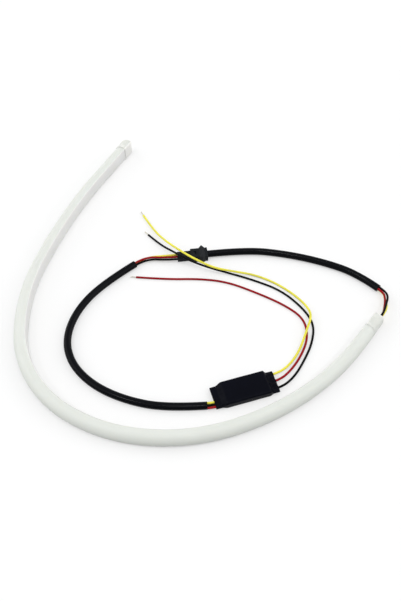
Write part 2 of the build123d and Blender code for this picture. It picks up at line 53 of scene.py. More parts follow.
# Routes of the cords in metres, the same points as in the part's source
TAIL_ROUTE = [(0.1485, -0.0173, 0.003), (0.133, -0.0018, 0.003), (0.1065, 0.0107, 0.003),
              (0.0755, 0.0197, 0.003), (0.04121, 0.02404, 0.0034), (0.0075, 0.0196, 0.0034)]
FEED_ROUTE = [(-0.054, 0.0087, 0.003), (-0.077, -0.0103, 0.003), (-0.0965, -0.0358, 0.003),
              (-0.104, -0.0638, 0.003), (-0.098, -0.0873, 0.003), (-0.08, -0.1068, 0.003),
              (-0.054, -0.1198, 0.003), (-0.023, -0.1263, 0.003), (0.0065, -0.1243, 0.003)]
LAMP_ROUTES = {
    "red": [(0.12749, -0.06756, 0.0073), (0.13314, -0.06043, 0.0073), (0.13996, -0.05448, 0.0073),
            (0.1468, -0.04586, 0.0073), (0.1498, -0.0366, 0.006), (0.1519, -0.0285, 0.004),
            (0.15198, -0.0223, 0.00362), (0.14774, -0.01806, 0.00362)],
    "yellow": [(0.12749, -0.06756, 0.0051), (0.13314, -0.06043, 0.0051), (0.13996, -0.05448, 0.0051),
               (0.1468, -0.04586, 0.0051), (0.1524, -0.037, 0.004), (0.1523, -0.0282, 0.0018),
               (0.15274, -0.02154, 0.00176), (0.1485, -0.0173, 0.00176)],
    "black": [(0.12749, -0.06756, 0.0095), (0.13314, -0.06043, 0.0095), (0.13996, -0.05448, 0.0095),
              (0.1468, -0.04586, 0.0095), (0.1508, -0.036, 0.008), (0.154, -0.028, 0.006),
              (0.1535, -0.02078, 0.00362), (0.14926, -0.01654, 0.00362)],
}
PLUG_ROUTES = {
    "red": [(-0.01223, 0.017, 0.0034), (-0.02571, 0.01523, 0.0034), (-0.04552, 0.01571, 0.00424),
            (-0.054, 0.0087, 0.00424)],
    "yellow": [(-0.01256, 0.01948, 0.0034), (-0.02604, 0.01771, 0.0034), (-0.0462, 0.01653, 0.00238),
               (-0.05468, 0.00953, 0.00238)],
    "black": [(-0.0119, 0.01452, 0.0034), (-0.02539, 0.01275, 0.0034), (-0.04483, 0.01488, 0.00238),
              (-0.05332, 0.00787, 0.00238)],
}
MODULE_ROUTES = {
    "red": [(0.00664, -0.1263, 0.0029), (0.01122, -0.12598, 0.0029), (0.01792, -0.1231, 0.0029),
            (0.02395, -0.12126, 0.0029)],
    "yellow": [(0.00636, -0.1223, 0.0029), (0.01095, -0.12199, 0.0029), (0.01676, -0.11927, 0.0029),
               (0.02278, -0.11744, 0.0029)],
    "black": [(0.0065, -0.1243, 0.0029), (0.01109, -0.12399, 0.0029), (0.01734, -0.12118, 0.0029),
              (0.02337, -0.11935, 0.0029)],
}
SUPPLY_ROUTES = {
    "red": [(0.04763, -0.10738, 0.0029), (0.06026, -0.10354, 0.0029), (0.0702, -0.0939, 0.0012),
            (0.0795, -0.0803, 0.0009), (0.0862, -0.0638, 0.0009), (0.0846, -0.0458, 0.0009),
            (0.0697, -0.0323, 0.0009), (0.0469, -0.0196, 0.0009), (0.0234, -0.0087, 0.0009),
            (0, -0.0055, 0.0009), (-0.0265, -0.0061, 0.0009), (-0.0525, -0.0038, 0.0009)],
    "yellow": [(0.04589, -0.10164, 0.0029), (0.05852, -0.0978, 0.0029), (0.069, -0.0899, 0.0013),
               (0.0786, -0.0758, 0.0009), (0.0846, -0.0607, 0.0063), (0.0904, -0.0461, 0.006),
               (0.087, -0.0316, 0.0009), (0.0758, -0.0191, 0.0009), (0.0616, -0.0082, 0.0009),
               (0.0456, -0.0015, 0.0018), (0.0288, -0.0009, 0.0052), (0.0128, -0.0005, 0.0094),
               (-0.002, 0.0053, 0.0128), (-0.0158, 0.016, 0.0122), (-0.0285, 0.0317, 0.0062),
               (-0.04, 0.0489, 0.0009), (-0.0501, 0.0672, 0.0009)],
    "black": [(0.04938, -0.11312, 0.0029), (0.06201, -0.10928, 0.0029), (0.0725, -0.0993, 0.0014),
              (0.0813, -0.0848, 0.0009), (0.089, -0.0688, 0.0009), (0.0922, -0.0513, 0.0009),
              (0.0845, -0.0353, 0.0009), (0.068, -0.0175, 0.0009), (0.0456, -0.0067, 0.0009),
              (0.0242, 0.0011, 0.0009), (0.0066, 0.0035, 0.0056), (-0.0088, 0.0079, 0.0096),
              (-0.0214, 0.0175, 0.0088), (-0.0336, 0.0321, 0.0009), (-0.0445, 0.0437, 0.0009)],
}

# The control module's own frame: middle of the near ear's end, the way it points, and its stations along it
MODULE_ORIGIN = (0.0107, -0.1186, 0.0)
MODULE_HEADING = 16.9
MODULE_STATIONS = (0.004, 0.009, 0.0415, 0.0448, 0.0493)

# Shrunk film: wires under its ears, how wide each lifts it, flatness between, squareness, lowest point
NEAR_ROWS = (-0.0064, -0.0044, -0.0024)
FAR_ROWS = (-0.006, 0.0, 0.006)
ROW_REACH = 0.0017
ROW_DIP = 0.55
FILM_SQUARENESS = 7.0
FILM_LOWEST = 0.0001

# How finely the shapes are divided
DOME_STEPS, EDGE_STEPS = 12, 6
CAP_STEPS, LIP_STEPS = 8, 3
CORD_STEPS, CORD_ROUND_STEPS = 14, 6
STRAND_STEPS, STRAND_SIDES = 14, 10
FILM_ACROSS, FILM_UPRIGHT, FILM_RINGS = 40, 12, 96

# Softened edges: reach of the merge, angle in degrees that is an edge, parts and widths of the rounding
MERGE_REACH = 0.000002
EDGE_ANGLE = 35
EDGE_PARTS = 2
BOOT_EDGE = 0.0001
CONNECTOR_EDGE = 0.00022

# Bare strands: turn over their length in radians, shortest share of the length, flare at the end, random seed
STRAND_TWIST = 2.6
STRAND_SHORTEST = 0.86
STRAND_FLARE = 0.25
STRAND_SEED = 4

# Silicone: how far red, green and blue go in, and where the pale base fades in the sleeve and in its ends;
# the pale base is partly the strip's tint and partly painted light that lifts the shaded base side
SILICONE_DEPTHS = (1.0, 0.97, 0.9)
BASE_TINT_AND_LIGHT_FADE = (-0.0049, -0.0042)
BACK_TINT_AND_LIGHT_FADE = (0.0012, 0.0006)

# Stage: the floor's half width, its level and its share of white, the sky, and the sensor in millimetres
FLOOR_HALF, FLOOR_LEVEL = 3.0, -0.0001
FLOOR_WHITE = 0.45
WHITE = (1, 1, 1, 1)
SKY_TONE = (0.98, 0.99, 1, 1)
SENSOR = 36

# Lamps: name, the setting that gives the strength, width in degrees, and the way that it shines
LAMPS = [("back_light", "back", 70, (0, -0.6, -1)),
         ("left_side_light", "side", 80, (1, -0.1, -0.4)),
         ("right_side_light", "side", 80, (-1, -0.1, -0.4)),
         ("left_top_light", "top", 5, (0.4, 0.25, -1)),
         ("middle_top_light", "top", 5, (0.0, 0.25, -1)),
         ("right_top_light", "top", 5, (-0.4, 0.25, -1))]


def colour(red, green, blue):
    """Linear colour from display values of 0 to 255."""
    shown = [value / 255 for value in (red, green, blue)]
    return [v / 12.92 if v <= 0.04045 else ((v + 0.055) / 1.055) ** 2.4 for v in shown] + [1.0]


def length_property(name, description, default):
    return FloatProperty(name=name, description=description, default=default, min=0,
                         unit="LENGTH", precision=4)


def strength_property(name, description, default):
    return FloatProperty(name=name, description=description, default=default, min=0)


def colour_property(name, description, *shown):
    return FloatVectorProperty(name=name, description=description, default=colour(*shown), size=4,
                               min=0, max=1, subtype="COLOR")


# Settings

class SleeveSettings(bpy.types.PropertyGroup):
    """Sizes and colours of the silicone light"""
    depth: length_property("Depth", "From the flat base to the top of the dome", 0.0099)
    height: length_property("Height", "Across the flat base", 0.0134)
    rise: length_property("Dome rise", "How far the dome stands out from its shoulders", 0.0055)
    edge: length_property("Edge", "Rounding of the section's corners", 0.0016)
    middle: length_property("Middle", "Height of the section's middle over the floor", 0.0073)
    tip: FloatVectorProperty(name="Tip", description="Where the sleeve starts on the floor",
                             default=(-0.07016, 0.15419, 0.0), subtype="TRANSLATION", precision=4)
    heading: FloatProperty(name="Heading", description="The way the sleeve leaves its far tip",
                           default=radians(-118), subtype="ANGLE")
    first_run: length_property("First run", "Straight run at the far tip", 0.0474)
    last_run: length_property("Last run", "Straight run at the lead end", 0.0186)
    steps: IntProperty(name="Steps", description="Sections along the sleeve", default=420, min=50)
    led_pitch: length_property("LED pitch", "Distance between the lamps inside", 0.008)
    base_wall: length_property("Base wall", "Wall between the flat base and the channel", 0.0018)
    channel_depth: length_property("Channel depth", "Depth of the channel that holds the strip", 0.0038)
    channel_height: length_property("Channel height", "Height of the channel", 0.0088)
    cap_wall: length_property("Cap wall", "Thickness of the cap round the sleeve", 0.0006)
    cap_lap: length_property("Cap lap", "How far the cap slips over the sleeve", 0.0115)
    cap_end: length_property("Cap end", "How far the cap stands out from the sleeve's tip", 0.002)
    cap_round: length_property("Cap rounding", "Rounding of the cap's closed end", 0.0032)
    cap_lip: length_property("Cap lip", "Rounding of the cap's mouth", 0.0003)
    milk: colour_property("Milk", "The silicone on its dome and top", 223, 226, 220)
    # Base tint: partly the strip showing through, partly painted light that lifts the shaded base side to the
    # top's brightness
    base_tint_and_painted_light: colour_property("Base tint", "The silicone where the strip shows through", 254, 253, 248)
    cap: colour_property("Cap", "The end cap and the boot", 218, 220, 214)


class LeadSettings(bpy.types.PropertyGroup):
    """Sizes and colours of the cables, wires and connector"""
    wire: length_property("Wire", "Diameter of a wire", 0.0018)
    cable: length_property("Cable", "Diameter of a cable", 0.006)
    red: colour_property("Red", "Red insulation", 156, 24, 31)
    yellow: colour_property("Yellow", "Yellow insulation", 246, 238, 88)
    black: colour_property("Black", "Black insulation", 4, 4, 5)
    sheath: colour_property("Sheath", "Sheath of the cables", 2, 3, 7)
    connector: colour_property("Connector", "Moulding of the connector", 11, 15, 19)
    bare: length_property("Bare end", "Length of a stripped wire end", 0.005)
    bundle: length_property("Bundle", "Radius of the twisted strands", 0.00037)
    strand: length_property("Strand", "Radius of one strand", 0.00018)
    strands: IntProperty(name="Strands", description="Strands round the middle one", default=6, min=3)


class ModuleSettings(bpy.types.PropertyGroup):
    """Sizes and colours of the control module"""
    width: length_property("Width", "Width of the body", 0.0194)
    height: length_property("Height", "Height of the body", 0.008)
    ear_width: length_property("Ear width", "Width of the flattened ends", 0.018)
    ear_height: length_property("Ear height", "Height of the flattened ends over a wire", 0.0034)
    ear_middle: length_property("Ear middle", "Height of the ears' middle over the floor", 0.0029)
    film: length_property("Film", "Thickness of the shrunk film", 0.0006)
    wrinkle: length_property("Wrinkle", "Height of the film's wrinkles", 0.00022)
    jacket: colour_property("Jacket", "Shrunk film", 5, 6, 14)


class StageSettings(bpy.types.PropertyGroup):
    """Camera, lamps and floor"""
    eye: FloatVectorProperty(name="Camera", description="Place of the camera", subtype="TRANSLATION",
                             default=(0.00155, -0.34269, 0.43403), precision=4)
    dip: FloatProperty(name="Dip", description="How far down the camera looks", default=radians(54),
                       subtype="ANGLE")
    lens: FloatProperty(name="Lens", description="Focal length in millimetres", default=39.17, min=1)
    back: strength_property("Back light", "Strength of the wide light from behind", 0.2)
    side: strength_property("Side lights", "Strength of each wide light at a side", 1.6)
    top: strength_property("Top lights", "Strength of each small light above", 0.36)
    sky: strength_property("Sky", "Strength of the even light from all round", 0.32)
    floor: colour_property("Floor", "Colour of the floor", 249, 249, 249)
    bounce: colour_property("Bounce", "Colour that the floor throws back on the object", 180, 180, 180)


class LightSettings(bpy.types.PropertyGroup):
    """Everything that can be set on the running light"""
    sleeve: PointerProperty(type=SleeveSettings)
    leads: PointerProperty(type=LeadSettings)
    module: PointerProperty(type=ModuleSettings)
    stage: PointerProperty(type=StageSettings)


# Nodes

class Field:
    """An output socket; sums and products of fields add Math nodes to its tree."""

    def __init__(self, nodes, socket):
        self.nodes = nodes
        self.socket = socket

    def other(self, name):
        """Another output of the same node."""
        return Field(self.nodes, self.nodes.pick(self.socket.node.outputs, name))

    def math(self, operation, *values):
        return self.nodes.add("ShaderNodeMath", {"operation": operation}, dict(enumerate(values)))

    def __add__(self, value):
        return self.math("ADD", self, value)

    def __radd__(self, value):
        return self.math("ADD", value, self)

    def __sub__(self, value):
        return self.math("SUBTRACT", self, value)

    def __rsub__(self, value):
        return self.math("SUBTRACT", value, self)

    def __mul__(self, value):
        return self.math("MULTIPLY", self, value)

    def __rmul__(self, value):
        return self.math("MULTIPLY", value, self)

    def __truediv__(self, value):
        return self.math("DIVIDE", self, value)

    def __rtruediv__(self, value):
        return self.math("DIVIDE", value, self)

    def dot(self, way):
        """How far a place lies along a way."""
        return self.nodes.add("ShaderNodeVectorMath", {"operation": "DOT_PRODUCT"},
                              {0: self, 1: way}, "Value")

    def clamped(self, low, high):
        return self.math("MINIMUM", self.math("MAXIMUM", self, low), high)

    def rise(self, low, high):
        """0 up to low, 1 from high, and smooth between them."""
        limits = {"Value": self, "From Min": low, "From Max": high}
        return self.nodes.add("ShaderNodeMapRange", {"interpolation_type": "SMOOTHSTEP"}, limits)


class Nodes:
    """A node tree, and the one way of adding a node to it."""

    def __init__(self, tree):
        self.tree = tree

    def pick(self, sockets, key):
        if isinstance(key, int):
            return sockets[key]
        return next(s for s in sockets if s.enabled and key in (None, s.name))

    def feed(self, socket, value):
        if isinstance(value, Field):
            self.tree.links.new(value.socket, socket)
        else:
            socket.default_value = value

    def add(self, kind, settings=None, sockets=None, out=None):
        """A new node: its settings first, then its sockets' values or links. Gives its output, if any."""
        node = self.tree.nodes.new(kind)
        for name, value in (settings or {}).items():
            setattr(node, name, value)
        for key, value in (sockets or {}).items():
            self.feed(self.pick(node.inputs, key), value)
        return Field(self, self.pick(node.outputs, out)) if node.outputs else None

    def vector(self, x, y, z):
        return self.add("ShaderNodeCombineXYZ", sockets={"X": x, "Y": y, "Z": z})

    def place(self, turn=0.0, stretch=(1, 1, 1)):
        """Object coordinates, turned about the upright and stretched."""
        spot = self.add("ShaderNodeTexCoord", out="Object")
        return self.add("ShaderNodeMapping",
                        sockets={"Vector": spot, "Rotation": (0, 0, turn), "Scale": stretch})

    def attribute(self, name):
        return self.add("ShaderNodeAttribute", {"attribute_name": name}, out="Fac")

    def grain(self, scale, where=None, detail=3.0, roughness=0.5):
        """Noise of 0 to 1, so many to the metre."""
        return self.add("ShaderNodeTexNoise", sockets={"Vector": where or self.place(), "Scale": scale,
                                                       "Detail": detail, "Roughness": roughness})

    def seen(self):
        """1 for rays from the camera and for those that a surface mirrors or lets through, else 0."""
        rays = self.add("ShaderNodeLightPath", out="Is Camera Ray")
        mirrored = rays.math("MAXIMUM", rays, rays.other("Is Glossy Ray"))
        return rays.math("MAXIMUM", mirrored, rays.other("Is Transmission Ray"))

    def tint(self, share, first, second):
        """One colour turning into another."""
        return self.add("ShaderNodeMix", {"data_type": "RGBA"}, {"Factor": share, "A": first, "B": second})

    def relief(self, height, distance, strength):
        return self.add("ShaderNodeBump",
                        sockets={"Height": height, "Distance": distance, "Strength": strength})


def material(name, paint, **fixed):
    """Material with sockets that are the same all over, and those that paint(nodes) varies."""
    made = bpy.data.materials.new(name)
    made.use_nodes = True
    nodes = Nodes(made.node_tree)
    shader = made.node_tree.nodes["Principled BSDF"]
    for socket, value in fixed.items():
        shader.inputs[socket.replace("_", " ")].default_value = value
    for socket, value in paint(nodes).items():
        nodes.feed(shader.inputs[socket], value)
    return made


def shade(base, share):
    """A colour made lighter or darker."""
    return [min(1.0, channel * share) for channel in base[:3]] + [1.0]


# Finishes

def milky_silicone(settings):
    """Extruded silicone: paler at its base, partly the strip's tint and partly painted light on the shaded
    base side, with faint flow lines and a faint painted glow of the lamps.
    """
    def paint(nodes):
        out = nodes.attribute("out")
        along = nodes.attribute("along")
        flow = nodes.grain(1.0, nodes.vector(along * 6.0, out * 900.0, nodes.attribute("up") * 900.0), 2.0)
        cloud = nodes.grain(45.0)
        lamps = along.math("COSINE", along * (2 * pi / settings.led_pitch))
        # Painted glow: the dome is a little lighter over each lamp, as if the lamps shone through it
        painted_glow = (lamps * 0.5 + 0.5) * out.rise(0.0, 0.004) * 0.05
        # Pale base: partly the strip's tint, partly painted light that lifts the shaded base side
        base = 1.0 - out.rise(*BASE_TINT_AND_LIGHT_FADE)
        tinted = nodes.tint((base + (cloud - 0.5) * 0.2).clamped(0, 1), settings.milk, settings.base_tint_and_painted_light)
        lined = nodes.tint((flow - 0.5) * 0.16 + 0.04 - painted_glow * 0.4, tinted, shade(settings.base_tint_and_painted_light, 0.82))
        height = flow * 0.5 + nodes.grain(2600.0, detail=2.0) * 0.25 + cloud
        return {"Base Color": lined, "Roughness": 0.42 + (cloud - 0.5) * 0.2 + (flow - 0.5) * 0.1,
                "Normal": nodes.relief(height, distance=0.00012, strength=0.35)}
    return material("milky_silicone", paint, Specular_IOR_Level=0.3, Subsurface_Weight=0.6,
                    Subsurface_Radius=SILICONE_DEPTHS, Subsurface_Scale=0.003)


def moulded_silicone(name, settings, back, points):
    """Moulded silicone with cloudy glue showing through, pale on its back like the sleeve: partly the strip's
    tint, partly painted light that lifts the shaded back.
    """
    flat = max(point.dot(back) for point in points)

    def paint(nodes):
        cloud = nodes.grain(140.0, detail=4.0)
        fine = nodes.grain(2200.0, detail=2.0)
        # Pale back: partly the strip's tint, partly painted light that lifts the shaded back
        back_tint_and_light = nodes.place().dot(back).rise(*(flat - fade for fade in BACK_TINT_AND_LIGHT_FADE))
        clear = nodes.tint(back_tint_and_light, settings.cap, settings.base_tint_and_painted_light)
        body = nodes.tint(cloud.rise(0.42, 0.68) * 0.4, clear, settings.base_tint_and_painted_light)
        return {"Base Color": body, "Roughness": 0.38 + (cloud - 0.5) * 0.25,
                "Normal": nodes.relief(cloud + fine * 0.2, distance=0.00025, strength=0.4)}
    return material(name, paint, Specular_IOR_Level=0.3, Subsurface_Weight=0.3,
                    Subsurface_Radius=SILICONE_DEPTHS, Subsurface_Scale=0.0004)


def insulation(name, base):
    """Satin wire insulation, a little uneven and rubbed."""
    def paint(nodes):
        cloud = nodes.grain(70.0)
        fine = nodes.grain(3000.0, detail=2.0)
        body = nodes.tint(cloud.rise(0.35, 0.7) * 0.5 + fine * 0.1, base, shade(base, 0.72))
        return {"Base Color": body, "Roughness": 0.3 + (cloud - 0.5) * 0.2 + (fine - 0.5) * 0.1,
                "Normal": nodes.relief(fine, distance=0.00001, strength=0.2)}
    return material(name, paint, Specular_IOR_Level=0.06)


def sheath(base):
    """Black cable sheath with a fine talc bloom."""
    def paint(nodes):
        cloud = nodes.grain(55.0, detail=4.0)
        fine = nodes.grain(2400.0, detail=3.0)
        body = nodes.tint(cloud.rise(0.5, 0.75) * 0.35 + fine * 0.1, base, shade(base, 2.4))
        return {"Base Color": body, "Roughness": 0.2 + (cloud - 0.5) * 0.12 + (fine - 0.5) * 0.06,
                "Normal": nodes.relief(fine * 0.1 + cloud, distance=0.00004, strength=0.3)}
    return material("cable_sheath", paint, Specular_IOR_Level=0.07)


def moulded_plastic(name, base):
    """Spark-grained moulding, greyer where it is handled."""
    def paint(nodes):
        grain = nodes.grain(3200.0, detail=3.0, roughness=0.7)
        cloud = nodes.grain(160.0)
        body = nodes.tint(cloud.rise(0.45, 0.75) * 0.5, base, shade(base, 1.9))
        return {"Base Color": body, "Roughness": 0.46 + (cloud - 0.5) * 0.2 + (grain - 0.5) * 0.15,
                "Normal": nodes.relief(grain, distance=0.00005, strength=0.5)}
    return material(name, paint, Specular_IOR_Level=0.12)


def shrink_film(settings):
    """Heat-shrunk film: satin, drawn into fine lines along the module."""
    def paint(nodes):
        drawn = nodes.grain(900.0, nodes.place(radians(-MODULE_HEADING), (0.12, 1.0, 1.0)), 3.0)
        cloud = nodes.grain(90.0, detail=4.0)
        share = cloud.rise(0.4, 0.75) * 0.5 + drawn * 0.15
        body = nodes.tint(share, settings.jacket, shade(settings.jacket, 1.9))
        return {"Base Color": body, "Roughness": 0.37 + (cloud - 0.5) * 0.25 + (drawn - 0.5) * 0.15,
                "Normal": nodes.relief(drawn * 0.5 + cloud, distance=0.00012, strength=0.4)}
    return material("shrink_film", paint, Specular_IOR_Level=0.04)


def metal(name, base, roughness):
    """Plated metal with dull patches and fine scratches."""
    def paint(nodes):
        patch = nodes.grain(900.0, detail=4.0)
        scratch = nodes.grain(1500.0, nodes.place(0.4, (0.08, 1.0, 1.0)), 2.0)
        body = nodes.tint(patch.rise(0.4, 0.75) * 0.6, base, shade(base, 0.6))
        return {"Base Color": body, "Roughness": roughness + (patch - 0.5) * 0.3 + (scratch - 0.5) * 0.15,
                "Metallic": 1.0 - patch.rise(0.6, 0.85) * 0.25,
                "Normal": nodes.relief(scratch, distance=0.00003, strength=0.4)}
    return material(name, paint)


def printed_board(name, base, copper):
    """Solder mask over copper that shows as slightly raised lighter lines."""
    def paint(nodes):
        cells = nodes.add("ShaderNodeTexVoronoi", {"feature": "DISTANCE_TO_EDGE"},
                          {"Vector": nodes.place(radians(-MODULE_HEADING)), "Scale": 420.0})
        track = 1.0 - cells.rise(0.04, 0.1)
        fine = nodes.grain(1800.0)
        body = nodes.tint(track * 0.6 + fine * 0.1, base, copper)
        return {"Base Color": body, "Roughness": 0.35 + (fine - 0.5) * 0.2,
                "Normal": nodes.relief(track + fine * 0.1, distance=0.00004, strength=0.5)}
    return material(name, paint)


def phosphor(name, base, frame_colour):
    """Lamp chip: a phosphor pool that shades off into its pale frame."""
    def paint(nodes):
        dots = nodes.grain(5200.0, detail=2.0)
        pool = nodes.grain(320.0)
        body = nodes.tint(pool.rise(0.45, 0.7) * 0.5 + dots * 0.15, base, frame_colour)
        return {"Base Color": body, "Roughness": 0.3 + (dots - 0.5) * 0.25,
                "Normal": nodes.relief(dots, distance=0.00003, strength=0.4)}
    return material(name, paint)


# Pieces

def link(name, data):
    piece = bpy.data.objects.new(name, data)
    bpy.context.scene.collection.objects.link(piece)
    return piece


def plain_mesh(name, points, edges, faces):
    mesh = bpy.data.meshes.new(name)
    mesh.from_pydata(points, edges, faces)
    mesh.update()
    return mesh


def settle(piece, slot, *nodes):
    """The finished piece rides on the part and stands for its nodes, which it hides; the slot is not used."""
    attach(piece, "root")
    if nodes:
        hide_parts(*nodes)
    return piece


def grown_tree(name, sizes):
    """Geometry Nodes tree with named inputs; gives its nodes, its input fields and their identifiers."""
    tree = bpy.data.node_groups.new(name, "GeometryNodeTree")
    identifiers = {}
    for label, kind in {"Geometry": "Geometry", **sizes}.items():
        socket = tree.interface.new_socket(label, in_out="INPUT", socket_type="NodeSocket" + kind)
        identifiers[label] = socket.identifier
    tree.interface.new_socket("Geometry", in_out="OUTPUT", socket_type="NodeSocketGeometry")
    nodes = Nodes(tree)
    given = nodes.add("NodeGroupInput", out="Geometry")
    return nodes, {label: given.other(label) for label in identifiers}, identifiers


def finish_tree(nodes, given, result):
    """The last nodes of a tree: real meshes with their material."""
    solid = nodes.add("GeometryNodeRealizeInstances", sockets={"Geometry": result})
    dressed = nodes.add("GeometryNodeSetMaterial", sockets={"Geometry": solid, "Material": given["Material"]})
    nodes.add("NodeGroupOutput", sockets={"Geometry": dressed})
    return nodes.tree


def grow(name, seed_mesh, tree, identifiers, values):
    """Evaluate a tree on a seed mesh and keep the result as a plain mesh object."""
    seed = link(name + "_seed", seed_mesh)
    modifier = seed.modifiers.new("Grow", "NODES")
    modifier.node_group = tree
    for label, value in values.items():
        modifier[identifiers[label]] = value
    ready = seed.evaluated_get(bpy.context.evaluated_depsgraph_get())
    mesh = bpy.data.meshes.new_from_object(ready)
    if not mesh.polygons:
        raise RuntimeError(name + ": the tree gave no faces")
    seed.modifiers.remove(modifier)
    bpy.data.objects.remove(seed)
    mesh.name = name
    return link(name, mesh)


def soften(node, width):
    """Merge a node's loose triangles and round its edges, with modifiers only."""
    weld = node.modifiers.new("Merge", "WELD")
    weld.merge_threshold = MERGE_REACH
    bevel = node.modifiers.new("Edges", "BEVEL")
    bevel.width = width
    bevel.segments = EDGE_PARTS
    bevel.limit_method = "ANGLE"
    bevel.angle_limit = radians(EDGE_ANGLE)
    bevel.harden_normals = True


def dress(name, surface):
    """Give a node its finish."""
    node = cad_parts[name]
    node.data.materials.clear()
    node.data.materials.append(surface)
    return node


def arc(centre_x, centre_y, radius, first, last, steps):
    turns = [first + (last - first) * step / steps for step in range(steps + 1)]
    return [(centre_x + radius * cos(turn), centre_y + radius * sin(turn)) for turn in turns]


def sleeve_section(depth, height, rise, edge):
    """Points round the section: flat base at -x, dome at +x, every corner rounded."""
    half = height / 2
    dome = (half * half + rise * rise) / (2 * rise)
    dome_x = depth / 2 - dome
    reach = sqrt((dome - edge) ** 2 - (half - edge) ** 2)
    swing = atan2(half - edge, reach)
    upper = arc(dome_x, 0, dome, 0, swing, DOME_STEPS)[:-1]
    upper += arc(dome_x + reach, half - edge, edge, swing, pi / 2, EDGE_STEPS)
    upper += arc(edge - depth / 2, half - edge, edge, pi / 2, pi, EDGE_STEPS)
    lower = [(x, -y) for x, y in reversed(upper)]
    return upper + lower[:-1]


def grown_outline(outline, growth):
    """An outline moved outwards all round."""
    grown = []
    for before, spot, after in zip(outline[-1:] + outline[:-1], outline, outline[1:] + outline[:1]):
        way = Vector((after[1] - before[1], before[0] - after[0])).normalized()
        grown.append((spot[0] + way.x * growth, spot[1] + way.y * growth))
    return grown


def tube_faces(rings, count):
    """Faces between neighbouring rings of so many points."""
    faces = []
    for first in range(0, (rings - 1) * count, count):
        for at in range(count):
            after = (at + 1) % count
            faces.append((first + at, first + count + at, first + count + after, first + after))
    return faces


def bent_sleeve_tree(bends):
    """Section carried along a route whose heading grows with each bend."""
    sizes = {"Tip": "Vector", "Heading": "Float", "First run": "Float", "Last run": "Float", "Steps": "Int"}
    for number in range(1, bends + 1):
        sizes["Radius %d" % number] = "Float"
        sizes["Angle %d" % number] = "Float"
    sizes["Material"] = "Material"
    nodes, given, identifiers = grown_tree("bent_sleeve", sizes)
    total = given["First run"]
    starts = []
    for number in range(1, bends + 1):
        starts.append(total)
        total = total + given["Radius %d" % number] * given["Angle %d" % number]
    total = total + given["Last run"]
    step = total / given["Steps"]
    index = nodes.add("GeometryNodeInputIndex")
    place = (index + 0.5) * step
    heading = given["Heading"]
    for number, start in enumerate(starts, 1):
        turned = (place - start) / given["Radius %d" % number]
        heading = heading + turned.clamped(0, given["Angle %d" % number])
    stride = nodes.vector(step * heading.math("COSINE", heading), step * heading.math("SINE", heading), 0.0)
    walked = nodes.add("GeometryNodeAccumulateField", {"data_type": "FLOAT_VECTOR"},
                       {"Value": stride}, "Trailing")
    spot = nodes.add("ShaderNodeVectorMath", {"operation": "ADD"}, {0: walked, 1: given["Tip"]})
    line = nodes.add("GeometryNodeMeshLine", sockets={"Count": given["Steps"] + 1})
    line = nodes.add("GeometryNodeSetPosition", sockets={"Geometry": line, "Position": spot})
    line = nodes.add("GeometryNodeStoreNamedAttribute",
                     sockets={"Geometry": line, "Name": "along", "Value": index * step})
    path = nodes.add("GeometryNodeMeshToCurve", sockets={"Mesh": line})
    path = nodes.add("GeometryNodeSetCurveNormal", {"mode": "Z_UP"}, {"Curve": path})
    where = nodes.add("ShaderNodeSeparateXYZ", sockets={"Vector": nodes.add("GeometryNodeInputPosition")})
    section = given["Geometry"]
    for name, value in (("out", where), ("up", where.other("Y"))):
        section = nodes.add("GeometryNodeStoreNamedAttribute",
                            sockets={"Geometry": section, "Name": name, "Value": value})
    section = nodes.add("GeometryNodeMeshToCurve", sockets={"Mesh": section})
    skin = nodes.add("GeometryNodeCurveToMesh", sockets={"Curve": path, "Profile Curve": section})
    skin = nodes.add("GeometryNodeSetShadeSmooth", sockets={"Geometry": skin})
    return finish_tree(nodes, given, skin), identifiers


def close_ends(mesh, middle):
    """Faces across each open end of the sleeve, between its outer skin and its channel."""
    shell = bmesh.new()
    shell.from_mesh(mesh)
    along = shell.verts.layers.float["along"]
    rims = [edge for edge in shell.edges if edge.is_boundary]
    for at_tip in (True, False):
        bmesh.ops.bridge_loops(shell, edges=[rim for rim in rims if (rim.verts[0][along] < middle) == at_tip])
    bmesh.ops.recalc_face_normals(shell, faces=shell.faces)
    shell.to_mesh(mesh)
    shell.free()


class BuildSleeve(bpy.types.Operator):
    """Extruded silicone sleeve with a channel, along its bends"""
    bl_idname = "running_light.sleeve"
    bl_label = "Light sleeve"

    def execute(self, context):
        settings = context.scene.running_light.sleeve
        outline = sleeve_section(settings.depth, settings.height, settings.rise, settings.edge)
        near, half = settings.base_wall - settings.depth / 2, settings.channel_height / 2
        far = near + settings.channel_depth
        channel = [(far, half), (far, -half), (near, -half), (near, half)]
        points, edges = [], []
        for loop in (outline, channel):
            first, count = len(points), len(loop)
            points += [(x, y, 0) for x, y in loop]
            edges += [(first + at, first + (at + 1) % count) for at in range(count)]
        seed = plain_mesh("sleeve_section", points, edges, [])
        tree, identifiers = bent_sleeve_tree(len(SLEEVE_BENDS))
        values = {"Tip": (settings.tip[0], settings.tip[1], settings.middle), "Heading": settings.heading,
                  "First run": settings.first_run, "Last run": settings.last_run, "Steps": settings.steps,
                  "Material": milky_silicone(settings)}
        for number, (radius, angle) in enumerate(SLEEVE_BENDS, 1):
            values["Radius %d" % number] = radius
            values["Angle %d" % number] = radians(angle)
        sleeve = grow("silicone_sleeve", seed, tree, identifiers, values)
        close_ends(sleeve.data, settings.first_run)
        settle(sleeve, "silicone", "light_sleeve")
        return {"FINISHED"}


